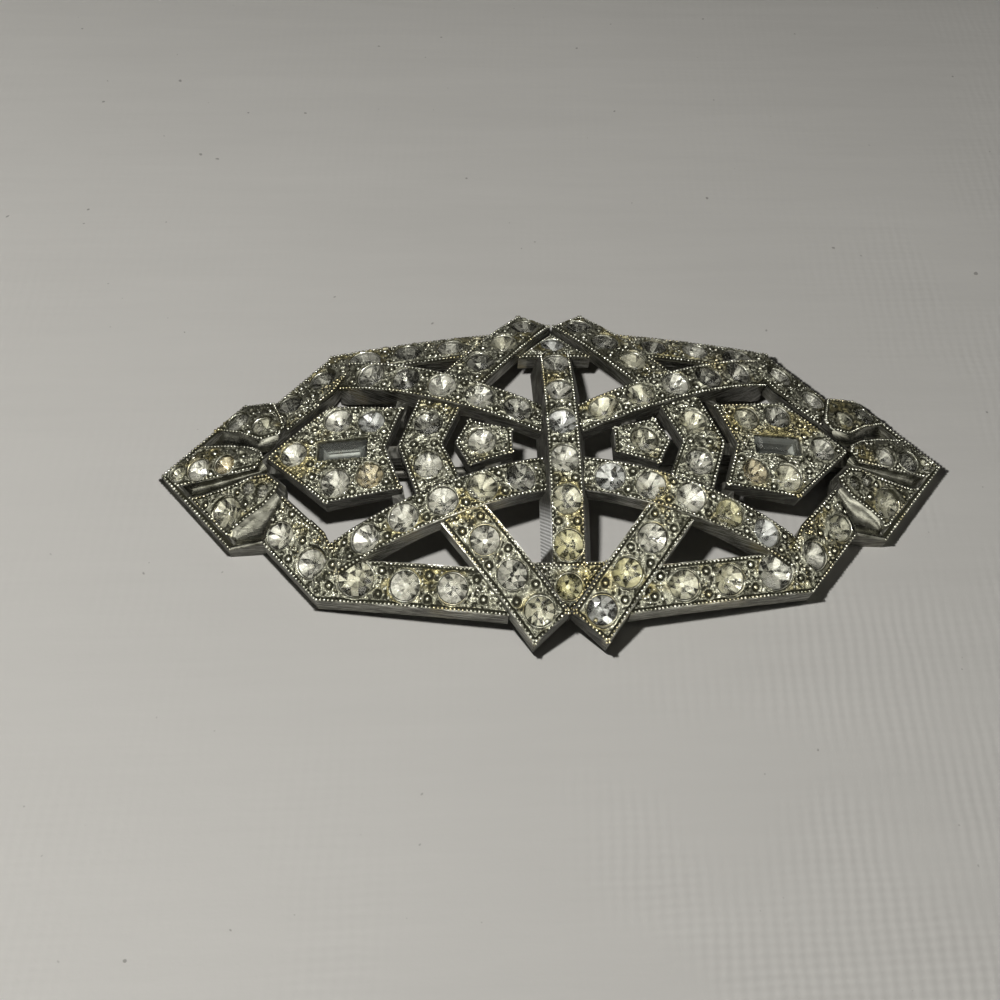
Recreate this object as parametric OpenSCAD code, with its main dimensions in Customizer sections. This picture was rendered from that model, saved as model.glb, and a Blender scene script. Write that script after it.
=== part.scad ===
// Pierced and domed rhinestone brooch: one cast setting, stones in drilled seats, and a plain pin at the back.
// Millimetres. X runs along the brooch, Y from its front edge to its back edge, Z up from the surface it lies on.
// The design repeats in all four quarters, so outlines are drawn for X and Y above zero and then mirrored.

/* [Dome] */
// Height of the metal at the centre above the surface
top_z = 6.9; // [6.7:0.1:7.2]
// Radius of the dome along the brooch
dome_rx = 122.5; // [115:0.5:130]
// Radius of the dome across the brooch
dome_ry = 30.5; // [29.5:0.5:32]
// Thickness of the casting
metal_t = 1.5; // [1.4:0.1:1.6]

/* [Frame] */
// Distance from the centre to an end tip
tip_x = 35; // [34.5:0.5:35.5]
// Frame corner, distance along the brooch
corner_x = 20.7; // [20.5:0.1:20.9]
// Frame corner, distance across the brooch
corner_y = 12.3; // [12.2:0.1:12.4]
// Height of the slanted rail's outer edge
slant_edge_z = 1.7; // [1.65:0.05:1.9]
// Height of an end block's outer edge
block_edge_z = 1.25; // [1.2:0.05:1.4]

/* [Bar and arcs] */
// Half width of the centre bar's top
bar_half = 1.4; // [1.35:0.05:1.45]
// Half width of the centre bar's foot
bar_foot_half = 2.1; // [2:0.05:2.2]
// Half length of the centre bar
bar_end_y = 10.7; // [10.6:0.1:10.8]
// Width of an arc
arc_w = 3; // [2.9:0.1:3.1]
// Width of a V bar
vee_w = 3.7; // [3.6:0.1:3.8]

/* [Stones] */
// Girdle radius of the main stones
stone_r = 1.2; // [1.1:0.02:1.22]
// Gap between a stone and its seat
seat_gap = 0.06; // [0.05:0.01:0.08]
// Length of a baguette
baguette_l = 4.1; // [3.8:0.1:4.2]
// Width of a baguette
baguette_w = 1.7; // [1.5:0.1:1.7]

/* [Pin] */
// Radius of the pin stem
pin_r = 0.45; // [0.4:0.05:0.5]
// Half length of the pin stem
pin_half = 20; // [19.5:0.5:20.5]

/* [Hidden] */
$fn = 48;
round_fn = 540;
far = 60;
tall = 12;
thin = 0.02;
facets = 8;
metal = "silver";
glass = "lightyellow";

// How far round the dome's shell runs along the brooch, and its share of the dome's radius across
dome_turn = 40;
dome_share = 0.75;

// Levels of the relief, measured from the dome along its own radius, and thickness of the lowest level
vee_level = 0.35;
rail_level = -0.5;
end_level = -0.6;
web_level = -1;
web_t = 1.1;

// The bar bends across the brooch only
bar_r = 25.5;
bar_depth = 2.4;
bar_tilt = asin(bar_end_y / bar_r);

// Each arc springs from the bar, rises and falls, and runs almost straight in plan
arch_r = 20;
arch_x = 8.6;
arch_slope = 0.1;
arch_y = 5.5;
arch_z = top_z - 0.1;
arch_t = 1.62;
arch_bore_shift = 0.87;
arch_deep = 4;
arch_from = 45;
arch_sweep = 75;
arch_near_y = 1;
arch_far_y = 12;
arc_r = 200;
arc_mid = [10.2, 5.6];
arc_turn = 19.85;
arc_centre = arc_mid + arc_r * [-sin(arc_turn), cos(arc_turn)];
arc_run = [[1.2, 0.5], [1.2, 5.5], [14, 10.5], [19.2, 10.5], [19.7, 8], [14, 4]];

// V bars run outwards and towards the middle. Distances are across and along a bar from the centre
vee_turn = 38.5;
vee_across = [cos(vee_turn), sin(vee_turn)];
vee_along = [-sin(vee_turn), cos(vee_turn)];
vee_mid = 10.8;
vee_start = -1.3;
vee_end = 11.1;

// The slanted rails and the end blocks are flat plates that fall outwards
slant_turn = 45;
slant_reach = (corner_x + corner_y) / sqrt(2);
slant_fall = 22.8;
block_turn = 42.1;
block_reach = tip_x * cos(block_turn);
block_fall = 24.2;
block_t = 1.7;
leaf_rise = 0.55;
ridge_sink = 0.1;
block_corner = [28.4, 7.3];
block_notch = [25.4, 7.15];
block_band = [[tip_x, 0], block_corner, block_corner - [0.6, 0.6], [tip_x - 0.95, 0]];

// Outlines of one quarter
rail_plan = [[5, 14.2], [corner_x, corner_y], [21, 9], [8, 10.45], [5.5, 10.7]];
slant_plan = [[corner_x, corner_y], block_notch, [24.6, 4.2], [23.75, 3.25], [20.1, 6.9], [19, 9]];
block_plan = [[tip_x, 0], block_corner, block_notch, [24.4, 5], [23.6, 3.1], [23.6, 2.46], [26.3, 0]];
petal_plan = [[4.3, 1.15], [8, 2.25], [9.2, 0]];
chevron_plan = [[10.2, 0], [9, 2.7], [8.5, 4.1], [12.1, 5.6], [12.7, 3.7], [14, 0]];
panel_plan = [[15, 0], [13.6, 3.95], [20, 4.75], [25.3, 0]];
petal_tie = [[5.3, 1], [6.7, 1.4], [6.5, 4], [5.3, 3.6]];
panel_tie = [[13.6, 3.2], [14.6, 3.5], [14.1, 6.2], [13.1, 5.9]];
apex_tie = [[13.2, 0], [13.2, 0.6], [15.8, 0.6], [15.8, 0]];
tip_tie = [[23.5, 0], [23.5, 1], [27.8, 1], [27.8, 0]];
bar_end_plan = [[0, 14.1], [3.3, 10.2], [-3.3, 10.2]];

// Leaves on an end block: a middle leaf to the tip, a ribbon at the back, and a broad leaf and a lip at the front
middle_leaf = [[34.6, 0], [31.7, 2.9], [29.2, 2.4], [27.2, 1.75], [25.9, 0.9],
               [25.6, 0], [26.3, -0.85], [30, -1.05], [33.4, -1.2]];
back_leaf = [[30.8, 4.65], block_corner, [25.5, 6.95], [24.1, 3.5], [24.5, 2.5], [26.3, 2.3], [28.4, 3.7]];
front_leaf = [[32.2, 2.3], [30.8, 2.2], [28.3, 1.8], [26.4, 1.35], [25.2, 1.4], [24.2, 2.4],
              [24.4, 3.1], [25.4, 4.1], [26.8, 4.8], [28.1, 5.6], [28.5, 6.2], [30.5, 4.4]];
front_lip = [block_corner, block_notch, [25.3, 6.8], [28.3, 6.9]];

// Stones: tables of [distance along X, distance along Y, girdle radius]
COL_X = 0;
COL_Y = 1;
COL_R = 2;
bar_pitch = 3.6;
bar_stones = [for (i = [0:5]) [0, (i - 2.5) * bar_pitch, stone_r]];
bar_end_stone = [0, 12.1, 1.05];
arc_pitch = 3.42;
arc_stones = [for (i = [-2:2]) concat(arc_point(i * arc_pitch), stone_r)];
vee_pitch = 3.47;
vee_first = 2.6;
vee_stones = [for (i = [0:2]) concat(vee_point(vee_first + i * vee_pitch), stone_r)];
rail_stones = [[9.5, 12, stone_r], [13.4, 11.6, stone_r], [17.4, 10.8, 1.45]];
slant_stones = [[21.15, 9.15, stone_r], [23.95, 6.55, 1.1]];
side_stones = [[11.4, 2, 1.15], [16.3, 2.65, 1.1], [19.2, 3.05, 1.2]];
side_centre_stones = [[6.9, 0, 1.15], [22.9, 0, 1.1]];
middle_stones = [[33.4, 0, 0.7], [31.5, 0, 1], [29.05, 0, 0.9]];
back_stones = [[28.7, 5.2, 1.05], [26.2, 4.1, 1]];
front_stones = [[28.7, 4.05, 1.3], [26.75, 2.4, 0.55], [25.5, 2.8, 0.55]];
baguette_x = 18.7;

// A stone's profile: table, crown, girdle, pavilion and flat base
table_share = 0.58;
crown_h = 0.4;
girdle_top = 0.05;
girdle_low = -0.12;
pavilion_z = -0.76;
base_r = 0.3;
seat_depth = 0.9;
seat_open = 2;

// Turn of a stone about its own axis, for each stone or each millimetre along the brooch
stone_spin = 17;

// A baguette's table and its narrow base, set in from the ends, and from the sides or the middle
table_inset = [0.5, 0.42];
base_inset = 0.7;
base_half = 0.12;

// Hinge block and catch of the pin, which stand just clear of the casting
pin_z = 1.5;
pin_foot_x = 18.6;
pin_foot = [2.4, 3, 2.7];
pin_foot_z = 0.9;

QUARTERS = [["front_left", -1, -1], ["front_right", 1, -1], ["back_left", -1, 1], ["back_right", 1, 1]];
NAME = 0;
SIGN_X = 1;
SIGN_Y = 2;

function arc_point(s) = arc_centre + arc_r * [sin(arc_turn + s / arc_r * 180 / PI),
                                              -cos(arc_turn + s / arc_r * 180 / PI)];
function vee_point(s) = vee_mid * vee_across + s * vee_along;
function flipped(plan) = [for (i = [len(plan) - 1:-1:0]) [plan[i][0], -plan[i][1]]];
function both(plan) = concat(plan, [for (p = flipped(plan)) if (p[1] < 0) p]);

// Places its children on the dome, at a level, upright to its surface
module on_dome(x, y, level) {
    across = asin(y / (dome_ry + level));
    reach = dome_rx - dome_ry + (dome_ry + level) * cos(across);
    along = asin(x / reach);
    translate([0, 0, top_z - dome_rx])
        rotate([0, along, 0])
            translate([0, 0, dome_rx - dome_ry])
                rotate([-across, 0, 0])
                    translate([0, 0, dome_ry + level])
                        children();
}

// Places its children on the centre bar
module on_bar(y) {
    translate([0, 0, top_z - bar_r])
        rotate([-asin(y / bar_r), 0, 0])
            translate([0, 0, bar_r])
                children();
}

// Places its children on an arc's top, in the quarter with these signs
module on_arc(x, y, sx, sy) {
    r = arch_r - (y - arch_y) * arch_slope;
    translate([sx * arch_x, sy * y, arch_z - arch_r])
        rotate([0, sx * asin((x - arch_x) / r), 0])
            translate([0, 0, r])
                rotate([-sy * atan(arch_slope), 0, 0])
                    children();
}

// Places its children on a plate that falls outwards, in the quarter with these signs
module on_plate(x, y, sx, sy, turn, reach, edge_z, fall) {
    out = x * cos(turn) + y * sin(turn);
    side = y * cos(turn) - x * sin(turn);
    heading = sx > 0 ? sy * turn : 180 - sy * turn;
    rotate([0, 0, heading])
        translate([out, sx * sy * side, edge_z + (reach - out) * tan(fall)])
            rotate([0, fall, 0])
                children();
}

module on_slant(x, y, sx, sy) {
    on_plate(x, y, sx, sy, slant_turn, slant_reach, slant_edge_z, slant_fall) children();
}

module on_block(x, y, sx, sy) {
    on_plate(x, y, sx, sy, block_turn, block_reach, block_edge_z, block_fall) children();
}

// Places its children on the ridge where the two halves of an end block meet
module on_ridge(x, sx) {
    slope = cos(block_turn) * tan(block_fall);
    translate([sx * x, 0, block_edge_z + (tip_x - x) * slope - ridge_sink])
        rotate([0, sx * atan(slope), 0])
            children();
}

// Repeats its children in all four quarters
module four() {
    for (sx = [0, 1])
        for (sy = [0, 1])
            mirror([sx, 0, 0])
                mirror([0, sy, 0])
                    children();
}

module two_ends() {
    for (sx = [0, 1])
        mirror([sx, 0, 0])
            children();
}

module upright(plan) {
    linear_extrude(tall)
        polygon(plan);
}

// A shell of the dome between a level and the same level less a thickness
module dome_shell(level, t) {
    translate([0, 0, top_z - dome_rx])
        rotate([90, 0, 0])
            rotate([0, 0, 90 - dome_turn / 2])
                rotate_extrude(angle = dome_turn, $fn = round_fn)
                    translate([dome_rx - dome_ry, 0])
                        intersection() {
                            difference() {
                                circle(dome_ry + level, $fn = round_fn);
                                circle(dome_ry + level - t, $fn = round_fn);
                            }
                            translate([dome_ry / 2, -dome_ry * dome_share])
                                square([dome_ry, 2 * dome_ry * dome_share]);
                        }
}

// A flat plate that falls outwards, its top lowered by a step
module plate(turn, reach, edge_z, fall, t, step) {
    rotate([0, 0, turn])
        translate([reach, 0, edge_z])
            rotate([0, fall, 0])
                translate([-far / 2, -far / 2, -t])
                    cube([far, far, t - step]);
}

module bar() {
    translate([0, 0, top_z - bar_r])
        rotate([0, 90, 0])
            rotate([0, 0, 180 - bar_tilt])
                rotate_extrude(angle = 2 * bar_tilt, $fn = round_fn)
                    polygon([[bar_r, bar_half], [bar_r, -bar_half], [bar_r - bar_depth, -bar_foot_half],
                             [bar_r - bar_depth, bar_foot_half]]);
}

// The ring that an arc is cut from: its top falls gently away from the middle
module arch_ring() {
    near_r = arch_r + (arch_y - arch_near_y) * arch_slope;
    far_r = arch_r + (arch_y - arch_far_y) * arch_slope;
    difference() {
        translate([arch_x, 0, arch_z - arch_r])
            rotate([90, 0, 0])
                rotate([0, 0, arch_from])
                    rotate_extrude(angle = arch_sweep, $fn = round_fn)
                        polygon([[near_r - arch_deep, -arch_near_y], [near_r, -arch_near_y],
                                 [far_r, -arch_far_y], [far_r - arch_deep, -arch_far_y]]);
        // the bore is off centre, so an arc is thin at the bar and thick at the rail
        translate([arch_x - arch_bore_shift, arch_far_y + 1, arch_z - arch_r])
            rotate([90, 0, 0])
                cylinder(arch_far_y - arch_near_y + 2, far_r - arch_slope - arch_t,
                         near_r + arch_slope - arch_t, $fn = round_fn);
    }
}

module arc() {
    intersection() {
        arch_ring();
        linear_extrude(tall)
            intersection() {
                difference() {
                    translate(arc_centre)
                        circle(arc_r + arc_w / 2, $fn = 2 * round_fn);
                    translate(arc_centre)
                        circle(arc_r - arc_w / 2, $fn = 2 * round_fn);
                }
                polygon(arc_run);
            }
    }
}

module vee() {
    intersection() {
        dome_shell(vee_level, metal_t);
        linear_extrude(tall)
            rotate([0, 0, vee_turn])
                translate([vee_mid - vee_w / 2, vee_start])
                    square([vee_w, vee_end - vee_start]);
    }
}

module rails() {
    intersection() {
        dome_shell(rail_level, metal_t);
        upright(rail_plan);
    }
    intersection() {
        plate(slant_turn, slant_reach, slant_edge_z, slant_fall, metal_t, 0);
        upright(slant_plan);
    }
}

// The petal, the chevron and the arrow panel of one side, with the low ties that carry them
module side_pieces() {
    intersection() {
        dome_shell(0, metal_t);
        union() {
            upright(both(petal_plan));
            upright(both(chevron_plan));
            upright(both(panel_plan));
        }
    }
    intersection() {
        dome_shell(web_level, web_t);
        union() {
            for (tie = [petal_tie, panel_tie]) {
                upright(tie);
                upright(flipped(tie));
            }
            upright(both(apex_tie));
            upright(both(tip_tie));
        }
    }
}

// One half of an end block: its recessed plate, an edge band, and the leaf or leaves on it
module half_block(leaves) {
    intersection() {
        plate(block_turn, block_reach, block_edge_z, block_fall, block_t, leaf_rise);
        upright(block_plan);
    }
    intersection() {
        plate(block_turn, block_reach, block_edge_z, block_fall, block_t, 0);
        union() {
            upright(block_band);
            for (leaf = leaves)
                intersection() {
                    upright(leaf);
                    upright(block_plan);
                }
        }
    }
}

module end_block() {
    half_block([middle_leaf, back_leaf]);
    mirror([0, 1, 0])
        half_block([flipped(middle_leaf), front_leaf, front_lip]);
}

module bar_ends() {
    intersection() {
        dome_shell(end_level, metal_t);
        union() {
            upright(bar_end_plan);
            upright(flipped(bar_end_plan));
        }
    }
}

// A stone, its girdle at the surface of the metal, turned about its own axis
module stone(r, turn) {
    rotate([0, 0, turn])
        rotate_extrude($fn = facets)
            polygon([[0, pavilion_z], [base_r, pavilion_z], [r, girdle_low], [r, girdle_top],
                     [r * table_share, crown_h], [0, crown_h]]);
}

module seat(r) {
    translate([0, 0, -seat_depth])
        cylinder(r = r + seat_gap, h = seat_depth + seat_open);
}

// Either a stone or the seat drilled for it
module gem(r, turn, cut) {
    if (cut)
        seat(r);
    else
        stone(r, turn);
}

module bar_gem(i, cut) {
    s = bar_stones[i];
    on_bar(s[COL_Y]) gem(s[COL_R], stone_spin * i, cut);
}

module bar_end_gem(sy, cut) {
    on_dome(0, sy * bar_end_stone[COL_Y], end_level) gem(bar_end_stone[COL_R], stone_spin, cut);
}

module arc_gem(i, sx, sy, cut) {
    s = arc_stones[i];
    on_arc(s[COL_X], s[COL_Y], sx, sy) gem(s[COL_R], stone_spin * i, cut);
}

module vee_gem(i, sx, sy, cut) {
    s = vee_stones[i];
    on_dome(sx * s[COL_X], sy * s[COL_Y], vee_level) gem(s[COL_R], stone_spin * i, cut);
}

module rail_gems(sy, cut) {
    for (sx = [-1, 1]) {
        for (s = rail_stones)
            on_dome(sx * s[COL_X], sy * s[COL_Y], rail_level) gem(s[COL_R], stone_spin * s[COL_X], cut);
        for (s = slant_stones)
            on_slant(s[COL_X], s[COL_Y], sx, sy) gem(s[COL_R], stone_spin * s[COL_X], cut);
    }
}

module side_gems(sx, cut) {
    for (s = side_centre_stones)
        on_dome(sx * s[COL_X], 0, 0) gem(s[COL_R], stone_spin, cut);
    for (sy = [-1, 1])
        for (s = side_stones)
            on_dome(sx * s[COL_X], sy * s[COL_Y], 0) gem(s[COL_R], stone_spin * s[COL_X], cut);
}

module block_gems(sx, cut) {
    for (s = middle_stones)
        on_ridge(s[COL_X], sx) gem(s[COL_R], stone_spin * s[COL_X], cut);
    for (s = back_stones)
        on_block(s[COL_X], s[COL_Y], sx, 1) gem(s[COL_R], stone_spin * s[COL_X], cut);
    for (s = front_stones)
        on_block(s[COL_X], s[COL_Y], sx, -1) gem(s[COL_R], stone_spin * s[COL_X], cut);
}

// A step-cut stone: table above, four sloping sides, girdle, and four sides to a narrow base
module baguette_cut(l, w) {
    hull() {
        translate([-l / 2 + table_inset[0], -w / 2 + table_inset[1], crown_h - thin])
            cube([l - 2 * table_inset[0], w - 2 * table_inset[1], thin]);
        translate([-l / 2, -w / 2, girdle_low])
            cube([l, w, girdle_top - girdle_low]);
        translate([-l / 2 + base_inset, -base_half, pavilion_z])
            cube([l - 2 * base_inset, 2 * base_half, thin]);
    }
}

module baguette(sx) {
    on_dome(sx * baguette_x, 0, 0)
        baguette_cut(baguette_l, baguette_w);
}

module baguette_seat(sx) {
    on_dome(sx * baguette_x, 0, 0)
        translate([-baguette_l / 2 - seat_gap, -baguette_w / 2 - seat_gap, -seat_depth])
            cube([baguette_l + 2 * seat_gap, baguette_w + 2 * seat_gap, seat_depth + seat_open]);
}

module seats() {
    for (i = [0:len(bar_stones) - 1])
        bar_gem(i, true);
    for (sy = [-1, 1]) {
        bar_end_gem(sy, true);
        rail_gems(sy, true);
        for (sx = [-1, 1]) {
            for (i = [0:len(arc_stones) - 1])
                arc_gem(i, sx, sy, true);
            for (i = [0:len(vee_stones) - 1])
                vee_gem(i, sx, sy, true);
        }
    }
    for (sx = [-1, 1]) {
        side_gems(sx, true);
        block_gems(sx, true);
        baguette_seat(sx);
    }
}

module setting() {
    color(metal)
        difference() {
            union() {
                four() {
                    arc();
                    vee();
                    rails();
                }
                two_ends() {
                    side_pieces();
                    end_block();
                }
                bar_ends();
                bar();
            }
            seats();
        }
}

// The pin stem with its hinge block and catch, in one piece
module pin_back() {
    color("darkgray") {
        translate([-pin_half, 0, pin_z])
            rotate([0, 90, 0])
                cylinder(r = pin_r, h = 2 * pin_half, $fn = 24);
        for (sx = [-1, 1])
            translate([sx * pin_foot_x - pin_foot[0] / 2, -pin_foot[1] / 2, pin_foot_z])
                cube(pin_foot);
    }
}

module bar_stone(i) {
    color(glass) bar_gem(i, false);
}

module bar_end_stones(sy) {
    color(glass) bar_end_gem(sy, false);
}

module arc_stone(i, q) {
    color(glass) arc_gem(i, q[SIGN_X], q[SIGN_Y], false);
}

module vee_stone(i, q) {
    color(glass) vee_gem(i, q[SIGN_X], q[SIGN_Y], false);
}

setting();
pin_back();
color("lightsteelblue") baguette(-1);  // baguette_left
color("lightsteelblue") baguette(1);  // baguette_right
for (i = [0:5])
    bar_stone(i);
bar_end_stones(-1);  // bar_end_stone_front
bar_end_stones(1);  // bar_end_stone_back
for (q = QUARTERS) {
    for (i = [0:4])
        arc_stone(i, q);
    for (i = [0:2])
        vee_stone(i, q);
}
color(glass) side_gems(-1, false);  // side_stones_left
color(glass) side_gems(1, false);  // side_stones_right
color(glass) rail_gems(-1, false);  // rail_stones_front
color(glass) rail_gems(1, false);  // rail_stones_back
color(glass) block_gems(-1, false);  // block_stones_left
color(glass) block_gems(1, false);  // block_stones_right
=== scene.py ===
"""Looks of the rhinestone brooch: cut stones with foil backs, and the worked face of the casting."""
import math

import bpy
import numpy as np
from mathutils import Matrix


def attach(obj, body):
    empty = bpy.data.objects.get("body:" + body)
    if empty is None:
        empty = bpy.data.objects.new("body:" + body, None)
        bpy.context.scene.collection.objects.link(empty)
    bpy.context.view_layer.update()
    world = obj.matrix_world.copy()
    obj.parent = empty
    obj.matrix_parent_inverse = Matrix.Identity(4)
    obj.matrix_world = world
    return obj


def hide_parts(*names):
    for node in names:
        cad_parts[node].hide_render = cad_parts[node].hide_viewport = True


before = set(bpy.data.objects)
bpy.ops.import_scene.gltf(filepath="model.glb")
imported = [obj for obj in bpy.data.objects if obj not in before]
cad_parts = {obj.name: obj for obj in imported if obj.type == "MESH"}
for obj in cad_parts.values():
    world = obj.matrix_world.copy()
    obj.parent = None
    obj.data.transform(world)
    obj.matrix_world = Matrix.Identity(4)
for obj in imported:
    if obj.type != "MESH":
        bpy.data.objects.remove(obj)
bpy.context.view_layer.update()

MM = 0.001
rng = np.random.default_rng(11)

# Sizes of the casting, in millimetres, as in the part's source
TOP_Z, DOME_RX, DOME_RY = 6.9, 122.5, 30.5
VEE_LEVEL, RAIL_LEVEL, END_LEVEL = 0.35, -0.5, -0.6
BAR_R, BAR_HALF, BAR_TOP_END = 25.5, 1.4, 10.7
ARCH_R, ARCH_X, ARCH_Y, ARCH_Z, ARCH_SLOPE = 20, 8.6, 5.5, 6.8, 0.1
ARC_R, ARC_MID, ARC_TURN, ARC_HALF = 200, np.array([10.2, 5.6]), math.radians(19.85), 1.5
VEE_TURN, VEE_MID, VEE_HALF, VEE_START, VEE_END = math.radians(38.5), 10.8, 1.85, -1.3, 11.1
CORNER, TIP_X = (20.7, 12.3), 35
SLANT_TURN, SLANT_EDGE, SLANT_FALL = math.radians(45), 1.7, math.radians(22.8)
BLOCK_TURN, BLOCK_EDGE, BLOCK_FALL = math.radians(42.1), 1.25, math.radians(24.2)
RIDGE_SINK = 0.1
ARC_START, ARC_END = -9.2, 9.7
STONE_R = 1.2
QUARTERS = {"front_left": (-1, -1), "front_right": (1, -1), "back_left": (-1, 1), "back_right": (1, 1)}

# Over a rail's outer end the tops change at two slanting lines: where each crosses LINES_Y, and its slope
LINES_Y, STONE_LINE_X, STONE_LINE_SLOPE, RAIL_LINE_X, RAIL_LINE_SLOPE = 9, 19, 0.515, 21, 0.091

# The near lamp, in millimetres, and its strength
LAMP = (-13.0, -10.4, 46.2)
LAMP_STRENGTH = 32


# Tops of the casting: height over a plan point, the same in all four quarters

def dome_top(level):
    """A ring torus: a tube of radius DOME_RY + level about an axis along Y, far below."""
    def top(x, y):
        reach = DOME_RX - DOME_RY + np.sqrt((DOME_RY + level) ** 2 - y ** 2)
        return TOP_Z - DOME_RX + np.sqrt(reach ** 2 - x ** 2)
    return top


def bar_top(x, y):
    """A cylinder of radius BAR_R along X."""
    return TOP_Z - BAR_R + np.sqrt(BAR_R ** 2 - y ** 2) + 0 * x


def arc_top(x, y):
    """A cone about an axis along Y: its radius shrinks by ARCH_SLOPE for each millimetre outwards."""
    r = ARCH_R - (np.abs(y) - ARCH_Y) * ARCH_SLOPE
    return ARCH_Z - ARCH_R + np.sqrt(r ** 2 - (np.abs(x) - ARCH_X) ** 2)


def plate_top(turn, reach, edge, fall):
    """A plane that falls outwards in the direction turn, and is at height edge at the distance reach."""
    def top(x, y):
        out = np.abs(x) * math.cos(turn) + np.abs(y) * math.sin(turn)
        return edge + (reach - out) * math.tan(fall)
    return top


face_top = dome_top(0)
vee_top = dome_top(VEE_LEVEL)
rail_top = dome_top(RAIL_LEVEL)
end_top = dome_top(END_LEVEL)
slant_top = plate_top(SLANT_TURN, sum(CORNER) / math.sqrt(2), SLANT_EDGE, SLANT_FALL)
block_top = plate_top(BLOCK_TURN, TIP_X * math.cos(BLOCK_TURN), BLOCK_EDGE, BLOCK_FALL)


def ridge_top(x, y):
    """The end block's top, a little lower, where its two halves meet."""
    return block_top(x, y) - RIDGE_SINK


def corner_top(x, y):
    """Over a rail's outer end: its dome, then the higher of dome and slant, then the slant alone."""
    past_rail_stone = np.abs(x) - STONE_LINE_X - (np.abs(y) - LINES_Y) * STONE_LINE_SLOPE
    past_rail = np.abs(x) - RAIL_LINE_X + (np.abs(y) - LINES_Y) * RAIL_LINE_SLOPE
    higher = np.maximum(rail_top(x, y), slant_top(x, y))
    return np.where(past_rail > 0, slant_top(x, y), np.where(past_rail_stone > 0, higher, rail_top(x, y)))


def lift(top, plan, height=0.0):
    """Points over plan points: on the top, then moved by height along its normal, by central differences."""
    x, y = plan[..., 0], plan[..., 1]
    step = 1e-3
    slope_x = (top(x + step, y) - top(x - step, y)) / (2 * step)
    slope_y = (top(x, y + step) - top(x, y - step)) / (2 * step)
    normal = np.stack([-slope_x, -slope_y, np.ones_like(x)], -1)
    normal /= np.linalg.norm(normal, axis=-1, keepdims=True)
    points = np.stack([x, y, top(x, y)], -1) + normal * np.asarray(height, float)[..., None]
    return points, normal


def arc_line(s, off=0.0):
    """Points along an arc's centre line, off millimetres outwards: a circle of radius ARC_R."""
    centre = ARC_MID + ARC_R * np.array([-math.sin(ARC_TURN), math.cos(ARC_TURN)])
    a = ARC_TURN + np.asarray(s, float) / ARC_R
    return centre + (ARC_R - off) * np.stack([np.sin(a), -np.cos(a)], -1)


def vee_line(s, off=0.0):
    """Points along a V bar's centre line, off millimetres outwards: a straight line."""
    across = np.array([math.cos(VEE_TURN), math.sin(VEE_TURN)])
    along = np.array([-math.sin(VEE_TURN), math.cos(VEE_TURN)])
    return (VEE_MID + off) * across + np.asarray(s, float)[..., None] * along


# Stones: plan points and radii in the first quarter

def stone_rows(points, radius):
    """Plan points with one radius, as rows of x, y and radius."""
    return np.column_stack([points, np.broadcast_to(radius, len(points))])


BAR = stone_rows([[0, (i - 2.5) * 3.6] for i in range(6)], STONE_R)
BAR_END = np.array([[0, 12.1, 1.05]])
ARC = stone_rows(arc_line(3.42 * np.arange(-2, 3)), STONE_R)
VEE = stone_rows(vee_line(2.6 + 3.47 * np.arange(3)), STONE_R)
RAIL = np.array([[9.5, 12, STONE_R], [13.4, 11.6, STONE_R], [17.4, 10.8, 1.45]])
SLANT = np.array([[21.15, 9.15, STONE_R], [23.95, 6.55, 1.1]])
SIDE = np.array([[11.4, 2, 1.15], [16.3, 2.65, 1.1], [19.2, 3.05, 1.2]])
SIDE_CENTRE = np.array([[6.9, 0, 1.15], [22.9, 0, 1.1]])
RIDGE = np.array([[33.4, 0, 0.7], [31.5, 0, 1], [29.05, 0, 0.9]])
BACK_LEAF = np.array([[28.7, 5.2, 1.05], [26.2, 4.1, 1]])
FRONT_LEAF = np.array([[28.7, 4.05, 1.3], [26.75, 2.4, 0.55], [25.5, 2.8, 0.55]])
BAGUETTE_X, BAGUETTE_L, BAGUETTE_W = 18.7, 4.1, 1.7

# Glass of each stone, by letter: w white, c champagne, y pale yellow, b blue-white, d darker, a amber
GLASS = {"w": (0.99, 0.99, 0.93), "c": (0.98, 0.97, 0.83), "y": (0.98, 0.95, 0.68),
         "b": (0.95, 0.97, 0.98), "d": (0.70, 0.70, 0.65), "a": (0.97, 0.89, 0.68)}
GREY_GLASS = (0.82, 0.86, 0.84)
ARC_LETTERS = {"front_left": "dcwww", "front_right": "bwwyb", "back_left": "dwwdw", "back_right": "ccwdd"}
VEE_LETTERS = {"front_left": "wwc", "front_right": "wyb", "back_left": "dcd", "back_right": "cdd"}

# Share of a stone's facets painted dark, standing in for facets that reflect little light, by letter
DARK_SHARE = {"w": 0.3, "c": 0.3, "y": 0.3, "b": 0.42, "d": 0.62, "a": 0.34}


def mirrored(rows, sx, sy):
    """Rows of stones, carried to another quarter or side."""
    return rows * np.array([sx, sy, 1])


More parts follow.
